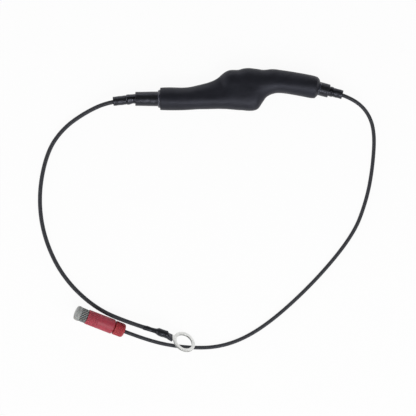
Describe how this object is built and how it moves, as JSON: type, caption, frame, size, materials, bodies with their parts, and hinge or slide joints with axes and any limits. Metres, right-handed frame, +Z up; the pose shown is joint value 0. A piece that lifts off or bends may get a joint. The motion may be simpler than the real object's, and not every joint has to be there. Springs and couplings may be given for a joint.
{
  "type": "in-line tap lead with ring terminal",
  "caption": "In-line electrical test lead: a screw-on wire tap and a ring terminal joined through a heat-shrunk component module.",
  "frame": {"origin": "on the floor, under the middle of the heat-shrunk module and its sleeves", "axes": "+X along the module towards the end of the tap lead, +Z up from the floor"},
  "size_m": [0.1698, 0.142, 0.0119],
  "materials": {
    "shrink_jacket": "semi-matte shrunk polyolefin",
    "shrink_sleeve": "matte shrunk polyolefin",
    "hot_melt": "hot-melt adhesive, glossy",
    "crimp_nylon": "black nylon, glossy",
    "tinned_copper": "tinned",
    "bare_copper": "bright stranded copper",
    "film_winding": "wound film",
    "epoxy_seal": "cast epoxy",
    "film_sleeve": "polyester tape",
    "alumina_core": "fired alumina",
    "steel_cap": "pressed, tinned",
    "resistor_coating": "silicone cement",
    "lead_insulation": "extruded PVC",
    "tinned_ring": "bright tinned",
    "red_nylon": "moulded, satin",
    "grey_nylon": "moulded, satin",
    "plated_brass": "plated"
  },
  "bodies": {
    "lead_set": {"module_jacket": "shrink_jacket", "jacket_glue_ground_end": "hot_melt", "jacket_glue_signal_end": "hot_melt", "ground_outer_sleeve": "shrink_sleeve", "ground_crimp_insulation": "crimp_nylon", "ground_wire_sleeve": "shrink_sleeve", "ground_crimp_barrel": "tinned_copper", "signal_outer_sleeve": "shrink_sleeve", "signal_crimp_insulation": "crimp_nylon", "signal_wire_sleeve": "shrink_sleeve", "signal_crimp_barrel": "tinned_copper", "capacitor_body": "film_winding", "capacitor_end_seals": "epoxy_seal", "capacitor_sleeve": "film_sleeve", "capacitor_leads": "tinned_copper", "resistor_core": "alumina_core", "resistor_end_caps": "steel_cap", "resistor_coating": "resistor_coating", "resistor_leads": "tinned_copper", "link_crimp": "tinned_copper", "link_sleeve": "shrink_sleeve", "ground_lead": "lead_insulation", "ground_lead_strands": "bare_copper", "ring_terminal": "tinned_ring", "ring_barrel_sleeve": "shrink_sleeve", "tap_lead": "lead_insulation", "tap_lead_strands": "bare_copper", "tap_body": "red_nylon", "tap_contact": "plated_brass"},
    "tap_cap": {"tap_cap": "grey_nylon"},
    "tap_end_cap": {"tap_end_cap": "red_nylon"}
  },
  "joints": [
    {"name": "tap_cap_unscrew", "type": "slide", "parent": "lead_set", "child": "tap_cap", "axis": [-0.9114, 0.3645, 0.1908], "range_m": [0, 0.012]},
    {"name": "end_cap_unscrew", "type": "slide", "parent": "lead_set", "child": "tap_end_cap", "axis": [0.9114, -0.3645, -0.1908], "range_m": [0, 0.004]}
  ]
}
